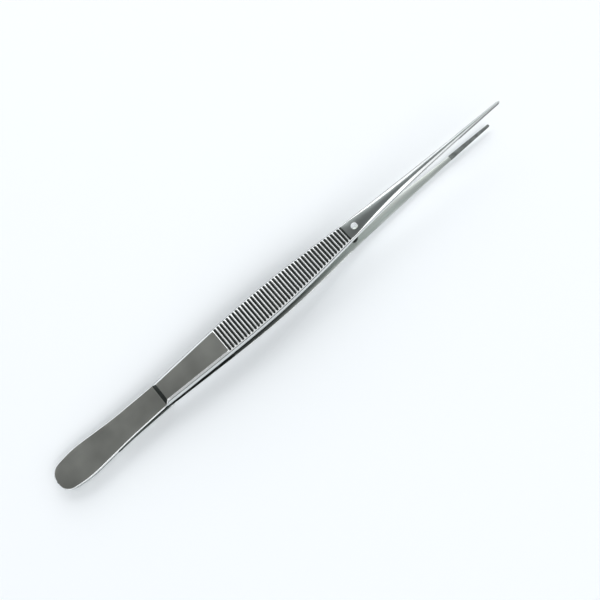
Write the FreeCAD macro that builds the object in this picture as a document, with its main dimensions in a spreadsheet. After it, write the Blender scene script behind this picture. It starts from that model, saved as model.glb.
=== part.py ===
# Thumb forceps: two sprung arms welded together at the tail, with cross-grooved
# grips, a guide pin and hard-metal inserts in slender tapering jaws.
#
# Arm frame: X from tail to tip, Z = 0 on the weld plane, outer face towards +Z.
# The lower arm is the upper arm turned half a turn about X.
# All sizes are in millimetres and degrees.

import FreeCAD, Part
import math
import os

import Sketcher
from FreeCAD import Placement, Rotation, Vector

# How far a cutting outline runs past the solid that it cuts.
CUT_MARGIN = 2.0

# The least volume, in cubic millimetres, that a cut has to take away.
LEAST_CUT = 0.001

SIZES = {
    # Tail, where the two arms are welded face to face.
    "tail_nose_half_width": 4.15,
    "tail_nose_radius": 4.05,
    "tail_crown_at": 9.0,
    "tail_crown_half_width": 5.42,
    "tail_crown_radius": 35.0,
    "tail_thickness": 1.5,
    "weld_length": 19.4,
    "seam_chamfer": 0.1,
    "rim_radius": 0.3,
    # Spring leaf between the weld and the grip.
    "leaf_gap": 0.6,
    "leaf_thickness": 0.95,
    "leaf_neck_at": 25.0,
    "leaf_neck_half_width": 4.26,
    "leaf_neck_radius": 150.0,
    # Grip: its outer face is one plane that climbs towards the jaws.
    "shoulder_at": 39.8,
    "shoulder_lean": 41.0,
    "face_height": 4.24,
    "face_slope": 1.92,
    "face_stock": 0.15,
    "wall_draft": 9.3,
    "bevel": 0.75,
    "shoulder_width": 7.94,
    "shoulder_thickness": 2.73,
    "heel_at": 60.0,
    "heel_width": 9.5,
    "heel_thickness": 2.66,
    "belly_at": 80.0,
    "belly_width": 10.5,
    "belly_thickness": 2.62,
    "finger_at": 96.0,
    "finger_width": 9.5,
    "finger_thickness": 2.56,
    # Cross grooves of the grip.
    "groove_first_at": 65.1,
    "groove_pitch": 1.25,
    "groove_count": 40,
    "groove_mouth": 0.78,
    "groove_floor": 0.5,
    "groove_depth": 0.38,
    "front_width": 6.55,
    "front_thickness": 2.1,
    # Jaw stations: place, full width, rise of the inner face from the station behind,
    # thickness, height of the side wall and width of the flat back.
    "eye_at": 119.1,
    "eye_width": 5.9,
    "eye_rise": 0.3,
    "eye_thickness": 1.68,
    "eye_wall": 1.25,
    "eye_flat": 4.4,
    "throat_at": 133.0,
    "throat_width": 4.25,
    "throat_rise": 1.12,
    "throat_thickness": 1.56,
    "throat_wall": 0.85,
    "throat_flat": 1.8,
    "crown_at": 147.0,
    "crown_width": 2.78,
    "crown_rise": 0.85,
    "crown_thickness": 1.3,
    "crown_wall": 0.65,
    "crown_flat": 0.86,
    "seat_at": 162.2,
    "seat_width": 1.7,
    "seat_rise": 0.42,
    "seat_thickness": 1.0,
    "seat_wall": 0.5,
    "seat_flat": 0.5,
    "tip_at": 180.0,
    "tip_width": 0.88,
    "tip_rise": 0.1,
    "tip_thickness": 0.7,
    "tip_wall": 0.4,
    "tip_flat": 0.26,
    "tip_nose_half_width": 0.48,
    "tip_nose_radius": 0.46,
    "tip_spare": 0.5,
    # Guide pin and the hole that it enters as the jaws close.
    "guide_hole_radius": 1.1,
    "guide_pin_radius": 0.75,
    "guide_pin_reach": 4.2,
    "guide_pin_nose_radius": 0.45,
    "guide_seat_depth": 1.1,
    # Jaw inserts, brazed into seats behind the gripping faces.
    "insert_seat_depth": 0.28,
    "insert_thickness": 0.42,
    "insert_overhang": 0.03,
    "insert_nose_radius": 0.4,
    "tooth_pitch": 0.6,
    "tooth_depth": 0.12,
    "tooth_half_mouth": 0.2,
}

doc = FreeCAD.newDocument("ThumbForceps")


def make_sheet():
    """Put every driving size in the spreadsheet, one alias to a row."""
    sheet = doc.addObject("Spreadsheet::Sheet", "Sizes")
    for row, (alias, number) in enumerate(SIZES.items(), start=1):
        sheet.set(f"A{row}", alias)
        sheet.set(f"B{row}", str(number))
        sheet.setAlias(f"B{row}", alias)
    doc.recompute()
    return sheet


sizes = make_sheet()


def size(alias):
    """A driving size, read from the sheet."""
    return float(sizes.get(alias))


def bound(formula):
    """A formula in plain aliases, written as a document expression."""
    words = sorted((word for word in SIZES if word in formula), key=len, reverse=True)
    marked = formula
    for number, word in enumerate(words):
        marked = marked.replace(word, f"<{number}>")
    for number, word in enumerate(words):
        marked = marked.replace(f"<{number}>", f"Sizes.{word}")
    return marked


def worked_out(formula):
    """The number that a formula in plain aliases stands for."""
    cell = doc.getObject("Workings") or doc.addObject("App::FeaturePython", "Workings")
    if "Answer" not in cell.PropertiesList:
        cell.addProperty("App::PropertyFloat", "Answer")
    cell.setExpression("Answer", bound(formula))
    cell.recompute()
    return cell.Answer


def origin_plane(body, role):
    """One of the body's own base planes, found by its role."""
    return next(item for item in body.Origin.OriginFeatures if item.Role == role)


def add_sketch(body, name, role):
    """An empty sketch flat on one of the body's base planes."""
    sketch = body.newObject("Sketcher::SketchObject", name)
    sketch.AttachmentSupport = [(origin_plane(body, role), "")]
    sketch.MapMode = "FlatFace"
    return sketch


def pin_down(sketch, geometry, vertex, formula_x, formula_y):
    """Hold one point of a sketch at a pair of formulas."""
    for kind, formula, axis in (("DistanceX", formula_x, -2), ("DistanceY", formula_y, -1)):
        if formula == "0":
            sketch.addConstraint(Sketcher.Constraint("PointOnObject", geometry, vertex, axis))
        else:
            value = worked_out(formula)
            place = sketch.addConstraint(Sketcher.Constraint(kind, -1, 1, geometry, vertex, value))
            sketch.setExpression(f"Constraints[{place}]", bound(formula))


class Corner:
    """A rounded corner: its arc, always counter-clockwise, and its two tangent points."""

    def __init__(self, before, corner, after, radius):
        back = (before - corner).normalize()
        forth = (after - corner).normalize()
        half_angle = back.getAngle(forth) / 2
        reach = radius / math.tan(half_angle)
        centre = corner + (back + forth).normalize() * (radius / math.sin(half_angle))
        self.point = corner
        self.entry = corner + back * reach
        self.leave = corner + forth * reach
        self.turns_left = back.cross(forth).z < 0
        ends = (self.entry, self.leave) if self.turns_left else (self.leave, self.entry)
        angles = [math.atan2(end.y - centre.y, end.x - centre.x) for end in ends]
        if angles[1] < angles[0]:
            angles[1] += 2 * math.pi
        self.arc = Part.ArcOfCircle(Part.Circle(centre, Vector(0, 0, 1), radius), *angles)


def add_outline(sketch, corners):
    """A closed outline through corners (x, y) or (x, y, radius), all given as formulas."""
    points = [Vector(worked_out(corner[0]), worked_out(corner[1]), 0) for corner in corners]
    count = len(corners)
    rounded = {}
    for index, corner in enumerate(corners):
        if len(corner) == 3:
            after = points[(index + 1) % count]
            rounded[index] = Corner(points[index - 1], points[index], after, worked_out(corner[2]))
    sides = []
    for index in range(count):
        after = (index + 1) % count
        start = rounded[index].leave if index in rounded else points[index]
        end = rounded[after].entry if after in rounded else points[after]
        sides.append(sketch.addGeometry(Part.LineSegment(start, end), False))
    for index, corner in enumerate(corners):
        if index in rounded:
            round_corner(sketch, rounded[index], sides[index - 1], sides[index], corner)
        else:
            sketch.addConstraint(Sketcher.Constraint("Coincident", sides[index - 1], 2, sides[index], 1))
            pin_down(sketch, sides[index], 1, corner[0], corner[1])


def round_corner(sketch, rounded, side_before, side_after, corner):
    """Put a tangent arc between two sides whose lines cross at a held corner point."""
    turn = sketch.addGeometry(rounded.arc, False)
    first, last = (1, 2) if rounded.turns_left else (2, 1)
    mark = sketch.addGeometry(Part.Point(rounded.point), True)
    pin_down(sketch, mark, 1, corner[0], corner[1])
    sketch.addConstraint(Sketcher.Constraint("PointOnObject", mark, 1, side_before))
    sketch.addConstraint(Sketcher.Constraint("PointOnObject", mark, 1, side_after))
    sketch.addConstraint(Sketcher.Constraint("Tangent", side_before, 2, turn, first))
    sketch.addConstraint(Sketcher.Constraint("Tangent", turn, last, side_after, 1))
    place = sketch.addConstraint(Sketcher.Constraint("Radius", turn, rounded.arc.Radius))
    sketch.setExpression(f"Constraints[{place}]", bound(corner[2]))


def pad(body, name, sketch, length, reverse=False, both_ways=False):
    """Pad a sketch by a formula."""
    feature = body.newObject("PartDesign::Pad", name)
    feature.Profile = sketch
    feature.setExpression("Length", bound(length))
    feature.Reversed = reverse
    feature.Midplane = both_ways
    doc.recompute()
    return feature


def pocket(body, name, sketch, both_ways=True):
    """Cut a sketch right through the body, to both sides of it or to the side below it."""
    before = body.Shape.Volume
    feature = body.newObject("PartDesign::Pocket", name)
    feature.Profile = sketch
    feature.Type = "ThroughAll"
    feature.Midplane = both_ways
    doc.recompute()
    if before - body.Shape.Volume < LEAST_CUT:
        raise RuntimeError(f"{name} cuts nothing from {body.Label}")
    return feature


def repeat_along(body, name, feature, sketch, pitch, count):
    """Repeat a cut along its own sketch's horizontal axis."""
    row = body.newObject("PartDesign::LinearPattern", name)
    row.Originals = [feature]
    row.Direction = (sketch, ["H_Axis"])
    row.setExpression("Length", bound(f"{pitch} * ({count} - 1)"))
    row.setExpression("Occurrences", bound(count))
    body.Tip = row
    doc.recompute()
    return row


def rim(body, facing):
    """Names of the edges where side walls meet the faces that look up (1) or down (-1)."""
    shape = body.Shape
    flats = [face for face in shape.Faces if face.normalAt(0, 0).z * facing > 0.9]
    walls = [face for face in shape.Faces if abs(face.normalAt(0, 0).z) < 0.1]
    sides = [face for face in walls if face.normalAt(0, 0).x < 0.9]
    names = []
    for number, edge in enumerate(shape.Edges, start=1):
        on_flat = any(edge.isSame(other) for face in flats for other in face.Edges)
        on_side = any(edge.isSame(other) for face in sides for other in face.Edges)
        if on_flat and on_side:
            names.append(f"Edge{number}")
    return names


def dress_edges(body, kind, name, edges, dimension, formula):
    """Round or chamfer the named edges of the body as it stands."""
    base = body.Tip
    feature = body.newObject(f"PartDesign::{kind}", name)
    feature.Base = (base, edges)
    feature.setExpression(dimension, bound(formula))
    doc.recompute()
    return feature


def face_height(place):
    """Height of the grip's outer face at a place along the arm."""
    return f"(face_height + ({place} - shoulder_at) * tan(face_slope))"


# Where the grooves end and the jaw begins.
FRONT_AT = "(groove_first_at + groove_count * groove_pitch * cos(face_slope))"

# The spring leaf's two faces where it meets the shoulder.
LEAF_END_INNER = "(face_height - shoulder_thickness)"
LEAF_END_OUTER = f"({LEAF_END_INNER} + leaf_thickness)"

# Height of the jaw's inner face at each station, from the front of the grip on.
FRONT_INNER = f"({face_height(FRONT_AT)} - front_thickness)"
EYE_INNER = f"({FRONT_INNER} + eye_rise)"
THROAT_INNER = f"({EYE_INNER} + throat_rise)"
CROWN_INNER = f"({THROAT_INNER} + crown_rise)"
SEAT_INNER = f"({CROWN_INNER} + seat_rise)"
TIP_INNER = f"({SEAT_INNER} + tip_rise)"

# The insert's seat leans as the jaw's inner face does between the seat and the tip.
SEAT_TILT = "atan(tip_rise / (tip_at + tip_spare - seat_at))"
SEAT_FLOOR = f"({SEAT_INNER} + insert_seat_depth)"


def make_leaf(body):
    """Tail pad and spring leaf: a flat blank in plan, then cut to its side profile."""
    plan = add_sketch(body, "leaf_plan", "XY_Plane")
    half_end = "shoulder_width / 2"
    upper = [
        ("0", "tail_nose_half_width", "tail_nose_radius"),
        ("tail_crown_at", "tail_crown_half_width", "tail_crown_radius"),
        ("leaf_neck_at", "leaf_neck_half_width", "leaf_neck_radius"),
        ("shoulder_at", half_end),
    ]
    lower = [(corner[0], f"-{corner[1]}") + corner[2:] for corner in reversed(upper)]
    add_outline(plan, upper + lower)
    pad(body, "leaf_blank", plan, "face_height")

    back = add_sketch(body, "leaf_back_profile", "XZ_Plane")
    add_outline(back, [
        (f"-{CUT_MARGIN}", "tail_thickness"),
        ("weld_length", "tail_thickness"),
        ("shoulder_at", LEAF_END_OUTER),
        (f"shoulder_at + {CUT_MARGIN}", LEAF_END_OUTER),
        (f"shoulder_at + {CUT_MARGIN}", f"face_height + {CUT_MARGIN}"),
        (f"-{CUT_MARGIN}", f"face_height + {CUT_MARGIN}"),
    ])
    pocket(body, "leaf_back", back)

    slot = add_sketch(body, "leaf_slot_profile", "XZ_Plane")
    add_outline(slot, [
        ("weld_length", f"-{CUT_MARGIN}"),
        (f"shoulder_at + {CUT_MARGIN}", f"-{CUT_MARGIN}"),
        (f"shoulder_at + {CUT_MARGIN}", LEAF_END_INNER),
        ("shoulder_at", LEAF_END_INNER),
        ("weld_length", "leaf_gap"),
    ])
    dress_edges(body, "Chamfer", "seam", rim(body, -1), "Size", "seam_chamfer")
    pocket(body, "leaf_slot", slot)
    dress_edges(body, "Fillet", "rim", rim(body, 1), "Radius", "rim_radius")


def add_station(body, name, place, width, inner, thickness, wall, flat):
    """A six-sided cross-section of the arm: drafted walls, bevels and a flat back."""
    sketch = add_sketch(body, name, "YZ_Plane")
    sketch.setExpression("AttachmentOffset.Base.z", bound(place))
    half = f"{width} / 2"
    right = [
        (half, inner),
        (f"{half} - {wall} * tan(wall_draft)", f"{inner} + {wall}"),
        (f"{flat} / 2", f"{inner} + {thickness}"),
    ]
    left = [(f"-({across})", height) for across, height in reversed(right)]
    add_outline(sketch, right + left)
    return sketch


def loft(body, name, stations):
    """A smooth solid through a row of cross-sections."""
    feature = body.newObject("PartDesign::AdditiveLoft", name)
    feature.Profile = stations[0]
    feature.Sections = stations[1:]
    doc.recompute()
    return feature


def make_grip(body):
    """Thick grip, milled flat on its back, with its shoulder sloped down to the leaf."""
    stations = []
    for name in ("shoulder", "heel", "belly", "finger", "front"):
        place = FRONT_AT if name == "front" else f"{name}_at"
        thickness = f"{name}_thickness"
        wall = f"({thickness} - bevel)"
        flat = f"({name}_width - 2 * (bevel + face_stock + {wall} * tan(wall_draft)))"
        inner = f"({face_height(place)} - {thickness})"
        stations.append(
            add_station(body, f"{name}_station", place, f"{name}_width", inner,
                        f"({thickness} + face_stock)", wall, flat)
        )
    loft(body, "grip", stations)

    before, after = f"(shoulder_at - {CUT_MARGIN})", f"({FRONT_AT} + {CUT_MARGIN})"
    milled = add_sketch(body, "face_profile", "XZ_Plane")
    add_outline(milled, [
        (before, face_height(before)),
        (after, face_height(after)),
        (after, f"{face_height(after)} + {CUT_MARGIN}"),
        (before, f"{face_height(before)} + {CUT_MARGIN}"),
    ])
    pocket(body, "grip_face", milled)

    crest = f"(face_height + {CUT_MARGIN})"
    ramp = add_sketch(body, "shoulder_profile", "XZ_Plane")
    add_outline(ramp, [
        ("shoulder_at", LEAF_END_OUTER),
        (f"shoulder_at + ({crest} - {LEAF_END_OUTER}) * tan(shoulder_lean)", crest),
        (f"shoulder_at - {CUT_MARGIN}", crest),
        (f"shoulder_at - {CUT_MARGIN}", LEAF_END_OUTER),
    ])
    pocket(body, "shoulder_ramp", ramp)


def make_jaw(body):
    """Slender jaw, bowed inwards, from the front of the grip to the tip."""
    front_wall = "(front_thickness - bevel)"
    front_flat = f"(front_width - 2 * (bevel - groove_depth + {front_wall} * tan(wall_draft)))"
    stations = [
        add_station(body, "jaw_root", FRONT_AT, "front_width", FRONT_INNER,
                    "(front_thickness - groove_depth)", front_wall, front_flat)
    ]
    places = {
        "eye": ("eye_at", EYE_INNER),
        "throat": ("throat_at", THROAT_INNER),
        "crown": ("crown_at", CROWN_INNER),
        "seat": ("seat_at", SEAT_INNER),
        "tip": ("tip_at + tip_spare", TIP_INNER),
    }
    for name, (place, inner) in places.items():
        stations.append(
            add_station(body, f"{name}_station", place, f"{name}_width", inner,
                        f"{name}_thickness", f"{name}_wall", f"{name}_flat")
        )
    loft(body, "jaw", stations)


def make_insert_seat(body):
    """Shallow step on the inner side of the jaw for its insert."""
    step = add_sketch(body, "insert_seat_profile", "XZ_Plane")
    past = f"(tip_at + tip_spare + {CUT_MARGIN})"
    below = f"{SEAT_INNER} - {CUT_MARGIN}"
    add_outline(step, [
        ("seat_at", below),
        (past, below),
        (past, f"{SEAT_FLOOR} + ({past} - seat_at) * tan({SEAT_TILT})"),
        ("seat_at", SEAT_FLOOR),
    ])
    pocket(body, "insert_seat", step)


def round_tip(body):
    """Grind the spare length off the end of the jaw, to a nose that is round in plan."""
    nose = add_sketch(body, "tip_plan", "XY_Plane")
    back = "tip_at - 2 * tip_nose_radius"
    past = f"tip_at + tip_spare + {CUT_MARGIN}"
    aside = f"tip_nose_half_width + {CUT_MARGIN}"
    add_outline(nose, [
        (past, aside),
        (back, aside),
        (back, "tip_nose_half_width"),
        ("tip_at", "tip_nose_half_width", "tip_nose_radius"),
        ("tip_at", "-tip_nose_half_width", "tip_nose_radius"),
        (back, "-tip_nose_half_width"),
        (back, f"-({aside})"),
        (past, f"-({aside})"),
    ])
    pocket(body, "tip_rounding", nose)


def make_grooves(body):
    """Cross grooves cut square to the grip's outer face, each running out in the bevels."""
    groove = add_sketch(body, "groove_profile", "XZ_Plane")
    groove.setExpression("AttachmentOffset.Base.x", bound("groove_first_at"))
    groove.setExpression("AttachmentOffset.Base.y", bound(face_height("groove_first_at")))
    groove.setExpression("AttachmentOffset.Rotation.Angle", bound("face_slope"))
    flank = "((groove_mouth - groove_floor) / 2)"
    add_outline(groove, [
        ("0", "0"),
        (flank, "-groove_depth"),
        (f"groove_mouth - {flank}", "-groove_depth"),
        ("groove_mouth", "0"),
        ("groove_mouth", "groove_depth"),
        ("0", "groove_depth"),
    ])
    cut = pocket(body, "groove", groove)
    repeat_along(body, "groove_row", cut, groove, "groove_pitch", "groove_count")


def make_arm(label, guide_radius, blind):
    """One arm. The guide bore goes right through, or stops inside as the pin's seat."""
    body = doc.addObject("PartDesign::Body", label)
    body.Label = label
    make_leaf(body)
    make_grip(body)
    make_jaw(body)
    make_insert_seat(body)
    round_tip(body)
    make_grooves(body)
    bore = add_sketch(body, "guide_bore_plan", "XY_Plane")
    if blind:
        bore.setExpression("AttachmentOffset.Base.z", bound(f"{EYE_INNER} + guide_seat_depth"))
    ring = bore.addGeometry(Part.Circle(Vector(size("eye_at"), 0, 0), Vector(0, 0, 1), size(guide_radius)))
    pin_down(bore, ring, 3, "eye_at", "0")
    place = bore.addConstraint(Sketcher.Constraint("Radius", ring, size(guide_radius)))
    bore.setExpression(f"Constraints[{place}]", bound(guide_radius))
    pocket(body, "guide_bore", bore, both_ways=not blind)
    return body


def make_guide_pin():
    """Round pin with a softened end, turned about its own axis."""
    body = doc.addObject("PartDesign::Body", "guide_pin")
    profile = add_sketch(body, "pin_profile", "XZ_Plane")
    add_outline(profile, [
        ("0", "0"),
        ("guide_pin_radius", "0"),
        ("guide_pin_radius", "-(guide_seat_depth + guide_pin_reach)", "guide_pin_nose_radius"),
        ("0", "-(guide_seat_depth + guide_pin_reach)"),
    ])
    turned = body.newObject("PartDesign::Revolution", "pin_turning")
    turned.Profile = profile
    turned.ReferenceAxis = (profile, ["V_Axis"])
    turned.Angle = 360
    doc.recompute()
    return body


def make_insert(label):
    """Jaw insert, with its back on the seat and cross teeth on its gripping face."""
    body = doc.addObject("PartDesign::Body", label)
    plan = add_sketch(body, "insert_plan", "XY_Plane")
    length = "(tip_at - seat_at)"
    half_back = "(seat_width / 2 + insert_overhang)"
    half_tip = "(tip_width / 2 + insert_overhang)"
    add_outline(plan, [
        ("0", half_back),
        (length, half_tip, "insert_nose_radius"),
        (length, f"-{half_tip}", "insert_nose_radius"),
        ("0", f"-{half_back}"),
    ])
    pad(body, "insert_plate", plan, "insert_thickness", reverse=True)
    tooth = add_sketch(body, "tooth_profile", "XZ_Plane")
    add_outline(tooth, [
        ("tooth_pitch - tooth_half_mouth", "-insert_thickness"),
        ("tooth_pitch", "tooth_depth - insert_thickness"),
        ("tooth_pitch + tooth_half_mouth", "-insert_thickness"),
        ("tooth_pitch + tooth_half_mouth", "-insert_thickness - tooth_depth"),
        ("tooth_pitch - tooth_half_mouth", "-insert_thickness - tooth_depth"),
    ])
    cut = pocket(body, "tooth_gap", tooth)
    whole_teeth = "floor((tip_at - seat_at - insert_nose_radius) / tooth_pitch)"
    repeat_along(body, "tooth_row", cut, tooth, "tooth_pitch", whole_teeth)
    return body


def check(bodies):
    """Stop if any object failed or any body isn't one sound solid."""
    for item in doc.Objects:
        if "Invalid" in item.State or "Error" in item.State:
            raise RuntimeError(f"{item.Name} failed: {item.State}")
    for body in bodies:
        shape = body.Shape
        if shape.isNull() or not shape.isValid() or len(shape.Solids) != 1:
            raise RuntimeError(f"{body.Label} is not one sound solid")


def place_at_rest(upper_arm, lower_arm, guide_pin, upper_insert, lower_insert):
    """Lay the forceps on the lower arm's shoulder and jaw crown, centred on the origin."""
    shoulder_top = "(shoulder_at + (shoulder_thickness - leaf_thickness) * tan(shoulder_lean))"
    drop = worked_out(f"{CROWN_INNER} + crown_thickness - {face_height(shoulder_top)}")
    tilt = math.degrees(math.atan2(drop, worked_out(f"crown_at - {shoulder_top}")))
    rest = Placement(Vector(0, 0, 0), Rotation(Vector(0, 1, 0), -tilt))
    turned_over = Placement(Vector(0, 0, 0), Rotation(Vector(1, 0, 0), 180))
    pin_seat = Placement(Vector(size("eye_at"), 0, worked_out(f"{EYE_INNER} + guide_seat_depth")), Rotation())
    insert_seat = Placement(
        Vector(size("seat_at"), 0, worked_out(SEAT_FLOOR)),
        Rotation(Vector(0, 1, 0), -worked_out(SEAT_TILT)),
    )
    own = {
        upper_arm: Placement(),
        lower_arm: turned_over,
        guide_pin: turned_over * pin_seat,
        upper_insert: insert_seat,
        lower_insert: turned_over * insert_seat,
    }
    for body, place in own.items():
        body.Placement = rest * place
    doc.recompute()
    box = FreeCAD.BoundBox()
    for body in own:
        box.add(body.Shape.optimalBoundingBox(False))
    shift = Placement(Vector(-box.Center.x, 0, -box.ZMin), Rotation())
    for body, place in own.items():
        body.Placement = shift * rest * place
    doc.recompute()
    return list(own)


bodies = place_at_rest(
    make_arm("upper_arm", "guide_hole_radius", blind=False),
    make_arm("lower_arm", "guide_pin_radius", blind=True),
    make_guide_pin(),
    make_insert("upper_insert"),
    make_insert("lower_insert"),
)
check(bodies)
os.makedirs("parts", exist_ok=True)
for body in bodies:
    body.Shape.exportStep(f"parts/{body.Label}.step")
    print(body.Label, round(body.Shape.Volume, 2), body.Shape.BoundBox)
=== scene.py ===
import math
from bisect import bisect_right
from collections import namedtuple

import bmesh
import bpy
import numpy as np
from bpy.props import FloatProperty, FloatVectorProperty, IntProperty, PointerProperty
from mathutils import Euler, Matrix, Vector


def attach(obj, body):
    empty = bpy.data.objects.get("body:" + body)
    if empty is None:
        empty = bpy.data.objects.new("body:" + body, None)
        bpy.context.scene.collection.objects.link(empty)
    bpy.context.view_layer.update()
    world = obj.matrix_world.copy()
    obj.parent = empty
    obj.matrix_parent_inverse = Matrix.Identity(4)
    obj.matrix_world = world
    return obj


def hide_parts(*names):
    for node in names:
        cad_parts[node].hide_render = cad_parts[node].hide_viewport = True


bl_info = {
    "name": "Thumb Forceps",
    "version": (1, 0, 0),
    "blender": (4, 5, 0),
    "location": "3D Viewport > Sidebar > Forceps",
    "description": "Builds the visible pieces of a pair of thumb forceps round their CAD frame",
    "category": "Add Mesh",
}

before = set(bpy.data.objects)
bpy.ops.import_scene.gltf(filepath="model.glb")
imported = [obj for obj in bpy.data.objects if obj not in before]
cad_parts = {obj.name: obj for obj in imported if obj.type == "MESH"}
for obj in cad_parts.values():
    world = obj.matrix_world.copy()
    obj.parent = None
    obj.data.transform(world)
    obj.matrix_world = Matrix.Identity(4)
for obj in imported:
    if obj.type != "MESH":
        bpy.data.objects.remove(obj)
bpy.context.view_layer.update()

MM = 0.001

# Vertices nearer than this are one vertex.
MERGE = 2e-7

# Points on a micro-rounded edge, and on the tail's larger rim, less one.
EDGE_STEPS = 2
RIM_STEPS = 2 * EDGE_STEPS + 2

# Strips from the middle of a crowned face to its edge.
CROWN_STRIPS = 4

# Part of a ground bevel, next to the side wall, that is painted as a thin line of shade.
SHADE_LINE_SHARE = 0.25

# Faces that meet at more than this angle keep a sharp edge between them.
SHARP_ANGLE = math.radians(32)

# Weight of large flat faces in the shading of their corners.
FLAT_WEIGHT = 80

# Spacing of the rings along the leaf and the plain part of the grip, along a jaw, and within a
# short run on either side of the guide hole.
PLAIN_SPACING = MM
JAW_SPACING = 0.8 * MM
HOLE_SPACING = 0.5 * MM
HOLE_RUN = 2 * MM

# Turns at which the rounded nose of a jaw or an insert gets a ring.
NOSE_TURNS = [math.radians(turn) for turn in range(0, 91, 10)]

# Sides of the round bores and of the guide pin.
BORE_SIDES = 64
PIN_SIDES = 48

# Steps of the roundings in the outlines of the tail and of the guide pin.
PLAN_STEPS = 24
PIN_STEPS = 8

# How far a cutter stands out of the steel that it cuts.
CUT_CLEARANCE = MM

# Largest part of a side that a rounding may take up: in a cross-section, between two rounded
# corners of a path, and at either end of a path.
SECTION_SHARE = 0.46
MIDDLE_SHARE = 0.48
END_SHARE = 0.98

# A corner is straight where half its angle is this near to a right angle.
STRAIGHT = 1e-4

# A run of a path that is shorter than this is upright.
UPRIGHT = 1e-12

# Surface of each metal: width of its fine lines along X, Y and Z, their depth, how far its colour
# strays from its tint, and the size of the places where it strays.
Surface = namedtuple("Surface", "lines depth mottle patch", defaults=(0.03, 11 * MM))
SATIN_SURFACE = Surface((3 * MM, 0.1 * MM, 0.1 * MM), 0.0008 * MM, 0.5)
INNER_SURFACE = Surface((3 * MM, 0.1 * MM, 0.1 * MM), 0.0008 * MM, 0.15)
GROUND_SURFACE = Surface((4 * MM, 0.1 * MM, 0.1 * MM), 0.003 * MM, 0.02)
SEAM_AND_SHADE_SURFACE = Surface((4 * MM, 0.1 * MM, 0.1 * MM), 0.003 * MM)
MILLED_SHADE_SURFACE = Surface((0.1 * MM, 2 * MM, 0.1 * MM), 0.006 * MM)
PIN_SURFACE = Surface((MM, MM, 0.05 * MM), 0.003 * MM)
INSERT_SURFACE = Surface((0.3 * MM, 0.3 * MM, 0.3 * MM), 0.004 * MM, 0.9, 1.6 * MM)

# How far a metal's roughness strays with its fine lines, as a share of it.
POLISH_SPREAD = 0.07

# Where the colour of the satin and of the inner faces turns from tail to jaw, along X. On the inner faces
# the dark tail side is painted shade in the narrow gap between the arms.
SATIN_TURN = -40 * MM, 50 * MM
INNER_TURN = -25 * MM, 45 * MM

# Dark screens in the studio's light, as ellipsoids of directions. The light rises between the
# edges, which are shares of the sizes.
Screen = namedtuple("Screen", "centre size edges")
OVERHEAD_SCREEN = Screen((-0.12, 0.15, 0.95), (0.78, 0.5, 1.0), (0.6, 1.1))
TAIL_SCREEN = Screen((-1.0, 0.2, 0.1), (0.75, 0.7, 0.5), (0.6, 1.0))
CAMERA_SCREEN = Screen((0.0, -1.0, 0.05), (1.2, 0.6, 0.28), (0.6, 1.1))

# Lamps, in metres.
Softbox = namedtuple("Softbox", "name place size")
BACK_SOFTBOX = Softbox("back softbox", (0.35, 0.7, 0.55), (1.1, 0.8))
FRONT_SOFTBOX = Softbox("front softbox", (0.0, -0.6, 0.8), (1.0, 0.5))

FLOOR_SIZE = 3.0

# Cross-sections of the grip: place, full width and thickness, in millimetres.
GripStation = namedtuple("GripStation", "place width thickness")
GRIP_STATIONS = (
    GripStation(39.8, 7.94, 2.73),
    GripStation(60.0, 9.5, 2.66),
    GripStation(80.0, 10.5, 2.62),
    GripStation(96.0, 9.5, 2.56),
    GripStation(115.072, 6.55, 2.1),
)

# Cross-sections of the jaw in front of the grip: place, full width, rise of the inner
# face from the section behind, thickness, height of the side wall and width of the back.
JawStation = namedtuple("JawStation", "place width rise thickness wall flat")
JAW_STATIONS = (
    JawStation(115.072, 6.55, 0.0, 1.72, 1.35, 5.368),
    JawStation(119.1, 5.9, 0.3, 1.68, 1.25, 4.4),
    JawStation(133.0, 4.25, 1.12, 1.56, 0.85, 1.8),
    JawStation(147.0, 2.78, 0.85, 1.3, 0.65, 0.86),
    JawStation(162.2, 1.7, 0.42, 1.0, 0.5, 0.52),
    JawStation(180.5, 0.88, 0.1, 0.7, 0.4, 0.28),
)


def length(label, description, millimetres):
    """A length property with its default in millimetres."""
    return FloatProperty(
        name=label, description=description, default=millimetres * MM, unit="LENGTH", precision=5
    )


def angle(label, description, degrees):
    """An angle property with its default in degrees."""
    return FloatProperty(
        name=label, description=description, default=math.radians(degrees), subtype="ANGLE"
    )


def share(label, description, value):
    """A property between nothing and one."""
    return FloatProperty(
        name=label, description=description, default=value, min=0, max=1, subtype="FACTOR"
    )


def colour(label, description, rgb):
    """A colour property, in linear light."""
    return FloatVectorProperty(
        name=label, description=description, default=rgb, size=3, min=0, max=1, subtype="COLOR"
    )


def power(label, description, watts):
    """A lamp's power, in watts."""
    return FloatProperty(name=label, description=description, default=watts, min=0, unit="POWER")


class TailSizes(bpy.types.PropertyGroup):
    """Tail pad and spring leaf of one arm."""

    nose_half_width: length("Nose half width", "Half width across the rounded tail end", 4.15)
    nose_radius: length("Nose radius", "Corner radius of the tail end in plan", 4.05)
    crown_at: length("Crown place", "Widest place of the tail", 9.0)
    crown_half_width: length("Crown half width", "Half width at the widest place", 5.42)
    crown_radius: length("Crown radius", "Plan radius at the widest place", 35.0)
    neck_at: length("Neck place", "Narrowest place of the spring leaf", 25.0)
    neck_half_width: length("Neck half width", "Half width of the leaf at its neck", 4.26)
    neck_radius: length("Neck radius", "Plan radius at the neck", 150.0)
    thickness: length("Tail thickness", "Thickness of one arm over the weld", 1.5)
    weld_length: length("Weld length", "How far the two arms are joined face to face", 19.4)
    back_radius: length("Back radius", "Radius where the leaf starts to rise from the weld", 150.0)
    leaf_gap: length("Leaf gap", "Half of the slot between the leaves at the weld", 0.6)
    leaf_thickness: length("Leaf thickness", "Thickness of the spring leaf", 0.95)
    rim_radius: length("Rim radius", "Rounding of the outer edges", 0.3)
    seam_radius: length("Seam radius", "Rounding of the edges along the weld seam", 0.1)
    slot_edge_radius: length("Slot edge radius", "Rounding of the inner edges along the open slot", 0.4)


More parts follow.
